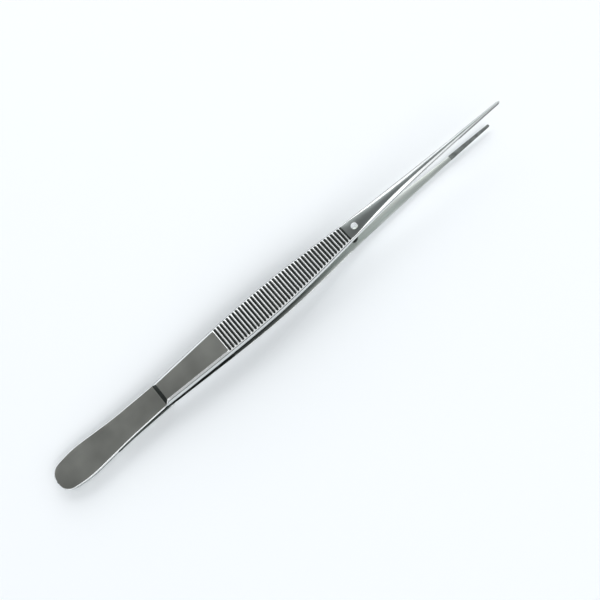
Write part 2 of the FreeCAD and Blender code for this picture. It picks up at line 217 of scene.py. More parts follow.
class GripSizes(bpy.types.PropertyGroup):
    """Grip of one arm, with its shoulder and its cross grooves."""

    shoulder_lean: angle("Shoulder lean", "Lean of the shoulder from upright", 41.0)
    shoulder_foot_radius: length("Shoulder foot radius", "Hollow at the foot of the shoulder", 0.3)
    face_height: length("Face height", "Height of the outer face at the shoulder", 4.24)
    face_slope: angle("Face slope", "Climb of the outer face towards the jaws", 1.92)
    wall_draft: angle("Wall draft", "Lean of the side walls", 9.3)
    bevel: length("Bevel", "Size of the bevels along the outer face", 0.75)
    edge_radius: length("Edge radius", "Rounding of the ground edges", 0.06)
    blend_length: length("Blend length", "Run over which the leaf's rim turns into the grip's edge", 1.4)
    groove_first_at: length("First groove", "Place of the first groove", 65.1)
    groove_pitch: length("Groove pitch", "Distance from groove to groove", 1.25)
    groove_count: IntProperty(
        name="Grooves", description="Number of cross grooves", default=40, min=1
    )
    groove_mouth: length("Groove mouth", "Width of a groove at the outer face", 0.78)
    groove_floor: length("Groove floor", "Width of a groove at its floor", 0.5)
    groove_depth: length("Groove depth", "Depth of a groove", 0.38)
    ridge_fall: length("Ridge fall", "Fall of a ridge's two slopes from its crest", 0.1)
    ridge_radius: length("Ridge radius", "Rounding of the crest of a ridge", 0.08)
    mouth_radius: length("Mouth radius", "Rounding of the edges of a groove", 0.05)
    root_radius: length("Root radius", "Rounding at the foot of the groove walls", 0.08)


class JawSizes(bpy.types.PropertyGroup):
    """Slender jaw of one arm, its insert seat and its guide bore."""

    seat_at: length("Seat place", "Where the insert's seat starts", 162.2)
    seat_depth: length("Seat depth", "Depth of the seat at its back end", 0.28)
    tip_at: length("Tip place", "End of the arm", 180.0)
    nose_half_width: length("Nose half width", "Half width of the ground tip", 0.48)
    nose_radius: length("Nose radius", "Plan radius of the ground tip", 0.46)
    lapped_length: length("Lapped length", "Length of the bright strip behind the insert", 0.6)
    hole_at: length("Guide hole place", "Place of the guide hole and the guide pin", 119.1)
    hole_radius: length("Guide hole radius", "Radius of the guide hole", 1.1)
    hole_chamfer: length("Guide hole chamfer", "Broken edge of the guide hole", 0.04)
    hole_lead: length("Guide hole lead", "Widening of the guide hole towards the pin", 0.8)
    pin_bore_radius: length("Pin bore radius", "Radius of the bore that holds the guide pin", 0.77)
    pin_bore_depth: length("Pin bore depth", "Depth of the bore that holds the guide pin", 1.1)
    pin_sink_radius: length("Pin sink radius", "Radius of the dished ring round the guide pin", 1.8)
    pin_sink_depth: length("Pin sink depth", "Depth of the dished ring round the guide pin", 0.2)
    crown: share(
        "Crown", "Fall of the inner face towards its edges, as a share of its half width", 0.06
    )
    back_crown: share(
        "Back crown", "Fall of the jaw's back towards its edges, as a share of its half width", 0.08
    )
    crown_blend: length("Crown blend", "Run over which the jaw's back becomes crowned", 3.0)
    crisp_below: length("Crisp below", "Half width of the back under which its edges get crisper", 0.9)


class SmallPartSizes(bpy.types.PropertyGroup):
    """Guide pin and jaw inserts."""

    pin_radius: length("Pin radius", "Radius of the guide pin", 0.75)
    pin_reach: length("Pin reach", "How far the guide pin stands out of its arm", 4.2)
    pin_nose_radius: length("Pin nose radius", "Rounding of the guide pin's end", 0.45)
    insert_thickness: length("Insert thickness", "Thickness of a jaw insert", 0.42)
    insert_overhang: length("Insert overhang", "How far an insert stands out at each side of its jaw", 0.03)
    insert_nose_radius: length("Insert nose radius", "Plan radius of an insert's end", 0.4)
    tooth_pitch: length("Tooth pitch", "Distance from tooth to tooth along an insert", 0.3)
    tooth_depth: length("Tooth depth", "Depth of the crossed teeth", 0.07)


class Rest(bpy.types.PropertyGroup):
    """How the forceps lie: the place of the tail's weld plane in the shared frame."""

    tail_x: length("Tail X", "Where the weld plane's tail end lies along X", -90.0672)
    tail_z: length("Tail Z", "Where the weld plane's tail end lies along Z", 2.7875)
    tilt: angle("Tilt", "Climb of the weld plane towards the jaws", 2.13648)


class Finish(bpy.types.PropertyGroup):
    """Colours and roughness of the metals."""

    steel: colour("Steel", "Colour of the satin steel at the jaws", (0.43, 0.475, 0.47))
    steel_tail: colour("Tail steel", "Colour of the satin steel at the tail", (0.61, 0.625, 0.58))
    steel_roughness: share("Steel roughness", "Roughness of the satin faces", 0.3)
    ground: colour("Ground steel", "Colour of the ground bevels, walls and ridges", (0.89, 0.91, 0.905))
    ground_roughness: share("Ground roughness", "Roughness of the ground bevels, walls and ridges", 0.22)
    # Painted shade: this near-black steel darkens the grooves, the shoulder's slope, the edges along the
    # open slot and the guide pin's bore, where shade falls.
    milled_shade: colour(
        "Milled steel, painted shade", "Colour of the grooves, the shoulder's slope, the slot's edges and the pin's bore",
        (0.07, 0.08, 0.075)
    )
    milled_roughness: share("Milled roughness", "Roughness of the milled and the worn faces", 0.38)
    inner: colour("Inner steel", "Colour of the inner faces of the jaws", (0.53, 0.57, 0.545))
    # Painted shade: the inner faces from tail to grip are darkened where they lie in the narrow gap between
    # the arms.
    inner_dull: colour(
        "Shaded inner steel", "Colour of the inner faces from tail to grip", (0.1, 0.11, 0.105)
    )
    inner_roughness: share("Inner roughness", "Roughness of the inner faces", 0.34)
    insert: colour("Insert metal", "Colour of the hard-metal inserts", (0.18, 0.195, 0.19))
    insert_roughness: share("Insert roughness", "Roughness of the inserts", 0.46)
    # The weld seam's dark joint, and painted shade on the thin lines along the ground bevels and on the
    # jaws' inner edges.
    dull: colour("Seam and shade steel", "Colour of the worn edges and the weld seam", (0.24, 0.25, 0.25))
    # Painted shade: the pin is darkened where it stands in the gap under the upper arm.
    pin: colour("Pin steel", "Colour of the turned guide pin", (0.07, 0.065, 0.06))
    pin_roughness: share("Pin roughness", "Roughness of the turned guide pin", 0.25)


class Stage(bpy.types.PropertyGroup):
    """Camera, floor and light."""

    camera_x: length("Camera X", "Place of the camera along X", -22.77)
    camera_y: length("Camera Y", "Place of the camera along Y", -48.92)
    camera_z: length("Camera Z", "Place of the camera along Z", 200.95)
    pitch: angle("Camera pitch", "Turn of the camera about X", 14.1206)
    roll: angle("Camera roll", "Turn of the camera about Y", 2.8594)
    heading: angle("Camera heading", "Turn of the camera about Z", -40.4607)
    lens: FloatProperty(name="Lens", description="Focal length", default=38.4, unit="CAMERA")
    floor: colour("Floor", "Colour of the floor", (0.925, 0.955, 0.975))
    wall_tint: colour("Wall tint", "Colour of the studio's walls", (0.97, 0.985, 1.0))
    ceiling_light: share("Ceiling light", "Brightness of the dark screen over the forceps", 0.14)
    side_light: share("Side light", "Brightness of the dark screen behind the tail", 0.05)
    front_light: share("Front light", "Brightness of the dark screen at the camera", 0.4)
    back_power: power("Back power", "Power of the back softbox", 3.8)
    fill_power: power("Fill power", "Power of the front softbox", 2.2)


class Forceps(bpy.types.PropertyGroup):
    """Everything that can be changed about the forceps and their studio."""

    tail: PointerProperty(type=TailSizes)
    grip: PointerProperty(type=GripSizes)
    jaw: PointerProperty(type=JawSizes)
    small: PointerProperty(type=SmallPartSizes)
    rest: PointerProperty(type=Rest)
    finish: PointerProperty(type=Finish)
    stage: PointerProperty(type=Stage)


def natural_spline(places, values):
    """A smooth curve through values at places, with no bend at either end."""
    count = len(places)
    steps = [after - before for before, after in zip(places, places[1:])]
    slopes = [(after - before) / step for before, after, step in zip(values, values[1:], steps)]
    system = np.eye(count)
    right = np.zeros(count)
    for i in range(1, count - 1):
        system[i, i - 1:i + 2] = steps[i - 1], 2 * (steps[i - 1] + steps[i]), steps[i]
        right[i] = 6 * (slopes[i] - slopes[i - 1])
    bends = np.linalg.solve(system, right)

    def at(place):
        i = min(max(bisect_right(places, place) - 1, 0), count - 2)
        step = steps[i]
        ahead, behind = places[i + 1] - place, place - places[i]
        bent = (bends[i] * ahead ** 3 + bends[i + 1] * behind ** 3) / (6 * step)
        straight_ahead = (values[i] / step - bends[i] * step / 6) * ahead
        straight_behind = (values[i + 1] / step - bends[i + 1] * step / 6) * behind
        return float(bent + straight_ahead + straight_behind)

    return at


def rounded_corner(before, corner, after, radius, steps,
                   back_share=SECTION_SHARE, forth_share=SECTION_SHARE):
    """Points of the arc that rounds a corner, within a share of each of its two sides."""
    back, forth = before - corner, after - corner
    room = min(back_share * back.length, forth_share * forth.length)
    if room < MERGE or radius < MERGE:
        return [corner.copy() for _ in range(steps + 1)]
    back.normalize()
    forth.normalize()
    half = math.acos(max(-1.0, min(1.0, back.dot(forth)))) / 2
    if math.pi / 2 - half < STRAIGHT:
        return [corner.copy() for _ in range(steps + 1)]
    reach = min(radius / math.tan(half), room)
    radius = reach * math.tan(half)
    centre = corner + (back + forth).normalized() * (radius / math.sin(half))
    start = corner + back * reach - centre
    turn = math.pi - 2 * half
    if back.x * forth.y - back.y * forth.x > 0:
        turn = -turn
    return [centre + Matrix.Rotation(turn * i / steps, 2) @ start for i in range(steps + 1)]


def rounded_path(corners, steps):
    """An open path through corners (x, y, radius), with each inner corner rounded."""
    points = [Vector(corner[:2]) for corner in corners]
    path = [points[0]]
    last = len(points) - 2
    for i in range(1, last + 1):
        shares = [END_SHARE if i == end else MIDDLE_SHARE for end in (1, last)]
        path += rounded_corner(points[i - 1], points[i], points[i + 1], corners[i][2], steps, *shares)
    return path + [points[-1]]


def along(path, place):
    """Height of a path over a place, from straight runs between its points."""
    places = [point.x for point in path]
    i = min(max(bisect_right(places, place) - 1, 0), len(path) - 2)
    run = path[i + 1].x - path[i].x
    if run < UPRIGHT:
        return path[i + 1].y
    return path[i].y + (path[i + 1].y - path[i].y) * (place - path[i].x) / run


def evenly(start, end, spacing):
    """Places from start to end, about spacing apart."""
    count = max(1, round((end - start) / spacing))
    return [start + (end - start) * i / count for i in range(count + 1)]


# A cross-section: height of its inner face, half width there, upper corner of its side wall, half
# width of its back and height of its back.
Section = namedtuple("Section", "inner half wall_y wall_z flat_y top")


class ArmShape:
    """Works out the cross-sections of one arm from tail to tip."""

    def __init__(self, forceps):
        self.tail, self.grip, self.jaw = forceps.tail, forceps.grip, forceps.jaw
        self.lean = math.tan(self.grip.wall_draft)
        grip = [[value * MM for value in station] for station in GRIP_STATIONS]
        self.shoulder_at, self.front_at = grip[0][0], grip[-1][0]
        places, widths, thicknesses = zip(*grip)
        self.grip_half = natural_spline(places, [width / 2 for width in widths])
        inner = [self.face(place) - thickness for place, thickness in zip(places, thicknesses)]
        self.grip_inner = natural_spline(places, inner)
        walls = [thickness - self.grip.bevel for thickness in thicknesses]
        self.grip_wall = natural_spline(places, walls)
        jaw = [[value * MM for value in station] for station in JAW_STATIONS]
        places, widths, rises, thicknesses, walls, flats = zip(*jaw)
        inner = list(np.cumsum(rises) + inner[-1])
        self.jaw_inner = natural_spline(places, inner)
        self.jaw_half = natural_spline(places, [width / 2 for width in widths])
        self.jaw_top = natural_spline(places, [a + b for a, b in zip(inner, thicknesses)])
        self.jaw_wall = natural_spline(places, walls)
        self.jaw_flat = natural_spline(places, [flat / 2 for flat in flats])
        self.seat_floor = self.jaw_inner(self.jaw.seat_at) + self.jaw.seat_depth
        self.seat_slope = (inner[-1] - inner[-2]) / (places[-1] - places[-2])
        self.leaf_foot = self.grip_inner(self.shoulder_at)
        self.back = self.back_profile()
        self.plan = self.tail_plan()

    def face(self, place):
        """Height of the grip's outer face."""
        return self.grip.face_height + (place - self.shoulder_at) * math.tan(self.grip.face_slope)

    def back_profile(self):
        """Side view of the outer surface, from the tail over all the ridges to the front."""
        tail, grip = self.tail, self.grip
        leaf_top = self.leaf_foot + tail.leaf_thickness
        lean = math.tan(grip.shoulder_lean)
        slope = math.tan(grip.face_slope)
        ramp_rise = (grip.face_height - leaf_top) / (1 - lean * slope)
        self.ramp_end = ramp_end = self.shoulder_at + ramp_rise * lean
        corners = [
            (0, tail.thickness, 0),
            (tail.weld_length, tail.thickness, tail.back_radius),
            (self.shoulder_at, leaf_top, grip.shoulder_foot_radius),
            (ramp_end, self.face(ramp_end), grip.edge_radius),
        ]
        flank = (grip.groove_mouth - grip.groove_floor) / 2
        pitch = grip.groove_pitch * math.cos(grip.face_slope)
        slant = (pitch - grip.groove_mouth) / 2
        for number in range(grip.groove_count):
            start = grip.groove_first_at + number * pitch
            for step, depth, radius in (
                (-slant, 0, grip.ridge_radius),
                (0, grip.ridge_fall, grip.mouth_radius),
                (flank, grip.groove_depth, grip.root_radius),
                (grip.groove_mouth - flank, grip.groove_depth, grip.root_radius),
                (grip.groove_mouth, grip.ridge_fall, grip.mouth_radius),
            ):
                corners.append((start + step, self.face(start + step) - depth, radius))
        last = self.front_at - slant
        corners.append((last, self.face(last), grip.ridge_radius))
        brow = self.front_at - flank / 2
        corners.append((brow, self.face(brow) - grip.ridge_fall, grip.mouth_radius))
        corners.append((self.front_at, self.face(self.front_at) - grip.groove_depth, 0))
        return rounded_path(corners, EDGE_STEPS)

    def tail_plan(self):
        """Half outline of the tail and leaf in plan, with points close together."""
        tail = self.tail
        rounded = rounded_path([
            (0, 0, 0),
            (0, tail.nose_half_width, tail.nose_radius),
            (tail.crown_at, tail.crown_half_width, tail.crown_radius),
            (tail.neck_at, tail.neck_half_width, tail.neck_radius),
            (self.shoulder_at, self.grip_half(self.shoulder_at), 0),
        ], PLAN_STEPS)
        dense = [rounded[0]]
        for before, after in zip(rounded, rounded[1:]):
            for place in evenly(0, 1, PLAIN_SPACING / max((after - before).length, MERGE))[1:]:
                dense.append(before.lerp(after, place))
        root = Vector((tail.weld_length, along(dense, tail.weld_length)))
        return sorted(dense + [root], key=lambda point: point.x)

    def leaf_inner(self, place):
        """Height of the inner face between the weld and the shoulder."""
        tail = self.tail
        climb = (place - tail.weld_length) / (self.shoulder_at - tail.weld_length)
        return tail.leaf_gap + (self.leaf_foot - tail.leaf_gap) * climb

    def grip_section(self, place):
        """The grip's full cross-section, before its back is cut to the side view."""
        inner, half, wall = self.grip_inner(place), self.grip_half(place), self.grip_wall(place)
        wall_y = half - wall * self.lean
        return Section(inner, half, wall_y, inner + wall, wall_y - self.grip.bevel, self.face(place))

    def jaw_section(self, place):
        """The jaw's cross-section, over the insert's seat in front of the seat's step."""
        inner, half, wall = self.jaw_inner(place), self.jaw_half(place), self.jaw_wall(place)
        return Section(
            inner, half, half - wall * self.lean, inner + wall, self.jaw_flat(place), self.jaw_top(place)
        )

    def seat_at_place(self, place):
        """Height of the insert's seat."""
        return self.seat_floor + (place - self.jaw.seat_at) * self.seat_slope


def crowned(middle, edge):
    """Points of a slightly crowned face from its middle up to, but without, its edge."""
    return [
        Vector((edge.x * part, middle.y + (edge.y - middle.y) * part ** 2))
        for part in (strip / CROWN_STRIPS for strip in range(CROWN_STRIPS))
    ]


def half_ring(place, section, inner, top, notch, radii, crown=(0, 0), limit=None):
    """Half of a cross-section, from the middle of its inner face to the middle of its back.

    The radii round its inner edges, its ground edges and, where that isn't nothing, the whole
    rim. The crowns are how far the inner face and the back fall away towards their edges.
    """
    inner_radius, edge_radius, rim_radius = radii
    middles = Vector((0, inner)), Vector((0, top))
    inner, top = inner + crown[0], top - crown[1]
    lean = (section.half - section.wall_y) / (section.wall_z - section.inner)

    def wall(height):
        return section.half - (height - section.inner) * lean

    def bevel(height):
        rise = (height - section.wall_z) / (section.top - section.wall_z)
        return section.wall_y + (section.flat_y - section.wall_y) * rise

    shoulder_z = min(top, section.wall_z)
    shoulder = Vector((wall(shoulder_z), shoulder_z))
    crest = Vector((bevel(top), top)) if top > section.wall_z else shoulder.copy()
    # The bevel is split here for its thin line of painted shade.
    shade_line_z = section.wall_z + SHADE_LINE_SHARE * (section.top - section.wall_z)
    shade_line = Vector((bevel(shade_line_z), shade_line_z)) if section.wall_z < shade_line_z < top else crest.copy()
    foot = Vector((wall(inner), inner))
    ledge = Vector((wall(notch), notch))
    if limit is not None:
        if crest.x < limit < shoulder.x:
            share_up = (shoulder.x - limit) / (shoulder.x - crest.x)
            shoulder = shoulder.lerp(crest, share_up)
        for point in (foot, ledge, shoulder, shade_line, crest):
            point.x = min(point.x, limit)
        if shade_line.y < shoulder.y:
            shade_line = shoulder.copy()
    points = rounded_corner(Vector((0, inner)), foot, shoulder, inner_radius, EDGE_STEPS)
    points.append(ledge if notch > inner else points[-1].copy())
    if rim_radius:
        points += rounded_corner(foot, crest, Vector((0, top)), rim_radius, RIM_STEPS)
    elif (crest - shoulder).length < MERGE:
        points += rounded_corner(foot, crest, Vector((0, top)), edge_radius, RIM_STEPS)
    else:
        points += rounded_corner(foot, shoulder, shade_line, edge_radius, EDGE_STEPS)
        points.append(shade_line)
        points += rounded_corner(shade_line, crest, Vector((0, top)), edge_radius, EDGE_STEPS)
    points = crowned(middles[0], points[0]) + points + crowned(middles[1], points[-1])[::-1]
    return [Vector((place, point.x, point.y)) for point in points]


def leaf_rings(shape):
    """Half rings of the tail and leaf, whose edges are set in square to their outline."""
    tail, grip, plan = shape.tail, shape.grip, shape.plan
    rings = []
    for number, spot in enumerate(plan):
        before, after = plan[max(number - 1, 0)], plan[min(number + 1, len(plan) - 1)]
        outward = Vector((before.y - after.y, after.x - before.x)).normalized()
        blend = min(1.0, max(0.0, (shape.shoulder_at - spot.x) / grip.blend_length))
        rim_radius = grip.edge_radius + (tail.rim_radius - grip.edge_radius) * blend
        top = along(shape.back, spot.x)
        welded = spot.x <= tail.weld_length
        floors = [0.0] if welded else [shape.leaf_inner(spot.x)]
        if welded and after.x > tail.weld_length:
            floors.append(tail.leaf_gap)
        for inner in floors:
            height = top - inner
            section = Section(inner, spot.y, spot.y - height * shape.lean * (1 - blend), top, spot.y, top)
            notch = tail.leaf_gap if inner == 0.0 else inner
            seam = tail.seam_radius if welded else tail.slot_edge_radius
            if len(floors) > 1:
                seam = 0.0
            ring = half_ring(0.0, section, inner, top, notch, (seam, grip.edge_radius, rim_radius))
            first, last = CROWN_STRIPS, len(ring) - CROWN_STRIPS - 1
            for point in ring[first:last + 1]:
                inset = spot.y - point.y
                point.x, point.y = spot.x - inset * outward.x, spot.y - inset * outward.y
            for strip in range(CROWN_STRIPS):
                part = strip / CROWN_STRIPS
                ring[strip].x, ring[strip].y = ring[first].x, ring[first].y * part
                ring[-1 - strip].x, ring[-1 - strip].y = ring[last].x, ring[last].y * part
            rings.append(ring)
    return rings


def grip_rings(shape):
    """Half rings from the shoulder over all the ridges to the front of the grip."""
    grip = shape.grip
    places = [point.x for point in shape.back if point.x > shape.shoulder_at + MERGE]
    ramp_end = next(point.x for point in shape.back if point.y >= shape.face(point.x) - MERGE)
    places += evenly(ramp_end, grip.groove_first_at - grip.groove_pitch, PLAIN_SPACING)
    rings = []
    for place in sorted(places):
        section, top = shape.grip_section(place), along(shape.back, place)
        notch = (section.inner + section.wall_z) / 2
        if top < section.wall_z:
            notch = section.inner + (top - section.inner) / 2
        start = max(0.0, (place - grip.groove_first_at) / (shape.front_at - grip.groove_first_at))
        crown = (shape.jaw.crown * section.half * min(1.0, start), 0)
        radii = grip.edge_radius, grip.edge_radius, 0
        rings.append(half_ring(place, section, section.inner, top, notch, radii, crown))
    return rings


def jaw_rings(shape):
    """Half rings of the jaw, with the step of the insert's seat and the ground tip."""
    jaw, edge = shape.jaw, shape.grip.edge_radius
    nose_starts = jaw.tip_at - jaw.nose_radius
    places = evenly(shape.front_at, jaw.hole_at - HOLE_RUN, JAW_SPACING)[1:]
    places += evenly(jaw.hole_at - HOLE_RUN, jaw.hole_at + HOLE_RUN, HOLE_SPACING)[1:]
    places += evenly(jaw.hole_at + HOLE_RUN, jaw.seat_at, JAW_SPACING)[1:]
    places += evenly(jaw.seat_at, nose_starts, JAW_SPACING)
    places += [nose_starts + jaw.nose_radius * math.sin(turn) for turn in NOSE_TURNS[1:]]
    rings = []
    for number, place in enumerate(places):
        section = shape.jaw_section(place)
        on_seat = place > jaw.seat_at or (place == jaw.seat_at and places[number - 1] == place)
        inner = shape.seat_at_place(place) if on_seat else section.inner
        notch = inner if on_seat else inner + jaw.seat_depth
        limit = None
        if place > nose_starts:
            across = math.sqrt(max(0.0, jaw.nose_radius ** 2 - (place - nose_starts) ** 2))
            limit = jaw.nose_half_width - jaw.nose_radius + across
        inner_radius = 0.0 if place == jaw.seat_at else edge
        start = min(1.0, (place - shape.front_at) / jaw.crown_blend)
        crisp = min(1.0, section.flat_y / jaw.crisp_below)
        back_fall = jaw.back_crown * section.flat_y * start * crisp
        crown = (0 if on_seat else jaw.crown * section.half, back_fall)
        radii = inner_radius, edge * crisp, 0
        rings.append(half_ring(place, section, inner, section.top, notch, radii, crown, limit))
    return rings


# Finishes of an arm. MILLED_SHADE is painted shade, SEAM_AND_SHADE is the weld seam's dark joint and
# painted shade, and INNER turns to painted shade towards the tail.
SATIN, GROUND, MILLED_SHADE, INNER, SEAM_AND_SHADE = range(5)

# The columns of a half ring that make its side, between its inner face and its back.
SIDE_COLUMNS = range(CROWN_STRIPS, CROWN_STRIPS + EDGE_STEPS + RIM_STEPS + 2)
FOOT_COLUMNS = SIDE_COLUMNS[:EDGE_STEPS + 1]
# Columns of the thin line of painted shade on the bevel.
SHADE_LINE_COLUMNS = SIDE_COLUMNS[EDGE_STEPS + 2:2 * EDGE_STEPS + 3]


def skin(bm, rings, finish_of, close_start=False, close_end=False):
    """Quads between half rings and their mirror images."""
    loops = []
    for half in rings:
        other = [Vector((point.x, -point.y, point.z)) for point in reversed(half[1:-1])]
        loops.append([bm.verts.new(point) for point in half + other])
    size = len(loops[0])
    for number, (before, after) in enumerate(zip(loops, loops[1:])):
        for column in range(size):
            beside = (column + 1) % size
            face = bm.faces.new((before[column], before[beside], after[beside], after[column]))
            mirrored = column if column < size // 2 else size - 1 - column
            face.material_index = finish_of(number, mirrored)
    if close_start:
        bm.faces.new(loops[0])
    if close_end:
        bm.faces.new(loops[-1])


def clean_up(bm):
    """Join vertices that meet, drop faces with no area and turn every face outwards."""
    bmesh.ops.remove_doubles(bm, verts=bm.verts, dist=MERGE)
    bmesh.ops.dissolve_degenerate(bm, dist=MERGE, edges=bm.edges)
    bmesh.ops.recalc_face_normals(bm, faces=bm.faces)


def add_object(name, data):
    """Put an object in the scene."""
    item = bpy.data.objects.new(name, data)
    bpy.context.scene.collection.objects.link(item)
    return item


def add_piece(name, bm, materials, place):
    """Put a finished mesh in the scene, at its place in the shared frame."""
    clean_up(bm)
    mesh = bpy.data.meshes.new(name)
    bm.to_mesh(mesh)
    bm.free()
    mesh.transform(place)
    for material in materials:
        mesh.materials.append(material)
    return add_object(name, mesh)


def soften_shading(piece):
    """Smooth shading that leaves flat faces flat and keeps the crisp edges."""
    piece.data.shade_smooth()
    piece.data.set_sharp_from_angle(angle=SHARP_ANGLE)
    weighted = piece.modifiers.new("Weighted normals", "WEIGHTED_NORMAL")
    weighted.keep_sharp = True
    weighted.weight = FLAT_WEIGHT


def turned(profile, segments, material_index=0):
    """A solid turned about Z from a profile of (radius, height) points that ends on the axis."""
    bm = bmesh.new()
    rows = []
    for radius, height in profile:
        row = []
        for number in range(segments):
            turn = 2 * math.pi * number / segments
            row.append(bm.verts.new((radius * math.cos(turn), radius * math.sin(turn), height)))
        rows.append(row)
    for before, after in zip(rows, rows[1:]):
        for number in range(segments):
            beside = (number + 1) % segments
            face = bm.faces.new((before[number], before[beside], after[beside], after[number]))
            face.material_index = material_index
    clean_up(bm)
    return bm


def bore(piece, cutter):
    """Cut the cutter out of a piece for good."""
    cut = piece.modifiers.new("Bore", "BOOLEAN")
    cut.object = cutter
    cut.operation = "DIFFERENCE"
    cut.solver = "EXACT"
    graph = bpy.context.evaluated_depsgraph_get()
    mesh = bpy.data.meshes.new_from_object(piece.evaluated_get(graph))
    piece.modifiers.clear()
    piece.data = mesh
    bpy.data.objects.remove(cutter)


def rest_place(forceps):
    """Matrix from the upper arm's own frame to the shared frame."""
    rest = forceps.rest
    return Matrix.Translation((rest.tail_x, 0, rest.tail_z)) @ Matrix.Rotation(-rest.tilt, 4, "Y")


def arm_place(forceps, upper):
    """Where an arm lies. The lower arm is the upper one turned over."""
    return rest_place(forceps) @ (Matrix() if upper else Matrix.Rotation(math.pi, 4, "X"))


def build_arm(forceps, name, upper, materials):
    """One arm as a single skin, with its guide hole or the bore for its guide pin."""
    shape = ArmShape(forceps)
    jaw = forceps.jaw
    leaf, grip, slender = leaf_rings(shape), grip_rings(shape), jaw_rings(shape)
    rings = leaf + grip + slender

    # A face this far under the grip's outer face lies in a groove.
    deep = forceps.grip.groove_depth / 4

    # The grooves' finish starts just behind the first groove.
    gripping_from = forceps.grip.groove_first_at - forceps.grip.groove_pitch / 4
    lapped_from = jaw.seat_at - jaw.lapped_length

    def finish_of(number, column):
        place, top = rings[number][-1].x, rings[number][-1].z
        # Inner edge roundings off the grip: painted shade along the open slot, the weld seam's dark joint
        # over the weld, and painted shade on the jaws' inner edges.
        if column in FOOT_COLUMNS and not shape.shoulder_at < place < shape.front_at:
            slotted = MERGE < rings[number][0].z and place < shape.shoulder_at
            return MILLED_SHADE if slotted else SEAM_AND_SHADE
        # A thin line of painted shade along the bevels past the shoulder.
        if column in SHADE_LINE_COLUMNS and place > shape.shoulder_at:
            return SEAM_AND_SHADE
        if column in SIDE_COLUMNS:
            return GROUND
        if column < CROWN_STRIPS:
            return GROUND if lapped_from < place < jaw.seat_at else INNER
        # The shoulder's slope is painted in shade.
        if shape.shoulder_at < place < shape.ramp_end:
            return MILLED_SHADE
        if place < gripping_from or place > shape.front_at + MERGE:
            return SATIN
        # The grooves are painted in shade and the ridges between them stay ground.
        return MILLED_SHADE if shape.face(place) - top > deep else GROUND

    bm = bmesh.new()
    skin(bm, rings, finish_of, close_end=True)
    place = arm_place(forceps, upper)
    piece = add_piece(name, bm, materials, place)
    inner, outer = shape.jaw_inner(jaw.hole_at), shape.jaw_top(jaw.hole_at)
    if upper:
        radius, chamfer = jaw.hole_radius, jaw.hole_chamfer
        land = outer - 4 * chamfer
        mouth = radius + jaw.hole_lead
        profile = [
            (0, inner - CUT_CLEARANCE),
            (mouth, inner - CUT_CLEARANCE),
            (mouth, inner),
            (radius, land),
            (radius, outer - chamfer),
            (radius + chamfer + CUT_CLEARANCE, outer + CUT_CLEARANCE),
            (0, outer + CUT_CLEARANCE),
        ]
    else:
        radius, floor = jaw.pin_bore_radius, inner + jaw.pin_bore_depth
        mouth = jaw.pin_sink_radius
        profile = [
            (0, inner - CUT_CLEARANCE),
            (mouth, inner - CUT_CLEARANCE),
            (mouth, inner),
            (radius, inner + jaw.pin_sink_depth),
            (radius, floor),
            (0, floor),
        ]
    # The guide hole's wall is ground; the lower arm's pin bore and dished ring are painted in shade.
    cut = turned(profile, BORE_SIDES, GROUND if upper else MILLED_SHADE)
    cutter = add_piece(f"{name}_cutter", cut, materials, place @ Matrix.Translation((jaw.hole_at, 0, 0)))
    bore(piece, cutter)
    soften_shading(piece)
    return piece


def build_guide_pin(forceps, material):
    """The turned pin that stands on the lower arm's inner face."""
    small, jaw, shape = forceps.small, forceps.jaw, ArmShape(forceps)
    depth = jaw.pin_bore_depth + small.pin_reach
    foot_radius = 0.02 * MM
    profile = rounded_path([
        (0, 0, 0),
        (small.pin_radius, 0, foot_radius),
        (small.pin_radius, -depth, small.pin_nose_radius),
        (0, -depth, 0),
    ], PIN_STEPS)
    seat = Matrix.Translation((jaw.hole_at, 0, shape.jaw_inner(jaw.hole_at) + jaw.pin_bore_depth))
    place = arm_place(forceps, False) @ seat
    pin = add_piece("turned_guide_pin", turned(profile, PIN_SIDES), [material], place)
    soften_shading(pin)
    return pin


def insert_rings(forceps, shape):
    """Half rings of a jaw insert, whose gripping face is cut with fine crossed teeth."""
    small, jaw = forceps.small, forceps.jaw
    edge = shape.grip.edge_radius
    total = jaw.tip_at - jaw.seat_at
    back_half = shape.jaw_half(jaw.seat_at) + small.insert_overhang
    tip_half = shape.jaw_half(jaw.tip_at) + small.insert_overhang
    nose_starts = total - small.insert_nose_radius
    step = small.tooth_pitch / 2
    teeth_end = int(nose_starts / step)
    places = [number * step for number in range(teeth_end + 1)]
    places += [nose_starts + small.insert_nose_radius * math.sin(turn) for turn in NOSE_TURNS]
    columns = math.ceil(back_half / step)
    crest, valley = -small.insert_thickness, small.tooth_depth - small.insert_thickness
    rings = []
    for number, place in enumerate(places):
        half = back_half + (tip_half - back_half) * place / total
        if place > nose_starts:
            across = math.sqrt(max(0.0, small.insert_nose_radius ** 2 - (place - nose_starts) ** 2))
            half = min(half, tip_half - small.insert_nose_radius + across)
        ring = [
            Vector((place, 0, 0)),
            Vector((place, half - edge / 2, 0)),
            Vector((place, half, -edge / 2)),
            Vector((place, half, valley + edge / 2)),
            Vector((place, half - edge / 2, valley)),
        ]
        for column in range(columns, -1, -1):
            across = min(column * step, half - edge)
            # A tooth this near to the side would break through the insert's edge.
            cut_short = column * step > half - 1.5 * edge
            plain = number > teeth_end - 1 or number == 0 or cut_short or (number + column) % 2
            ring.append(Vector((place, across, valley if plain else crest)))
        rings.append(ring)
    return rings


def build_insert(forceps, name, upper, material):
    """A hard-metal insert, seated on its jaw."""
    shape = ArmShape(forceps)
    jaw = forceps.jaw
    bm = bmesh.new()
    skin(bm, insert_rings(forceps, shape), lambda number, column: 0, close_start=True, close_end=True)
    seat = Matrix.Translation((jaw.seat_at, 0, shape.seat_floor))
    lean = Matrix.Rotation(-math.atan(shape.seat_slope), 4, "Y")
    insert = add_piece(name, bm, [material], arm_place(forceps, upper) @ seat @ lean)
    insert.data.shade_flat()
    return insert


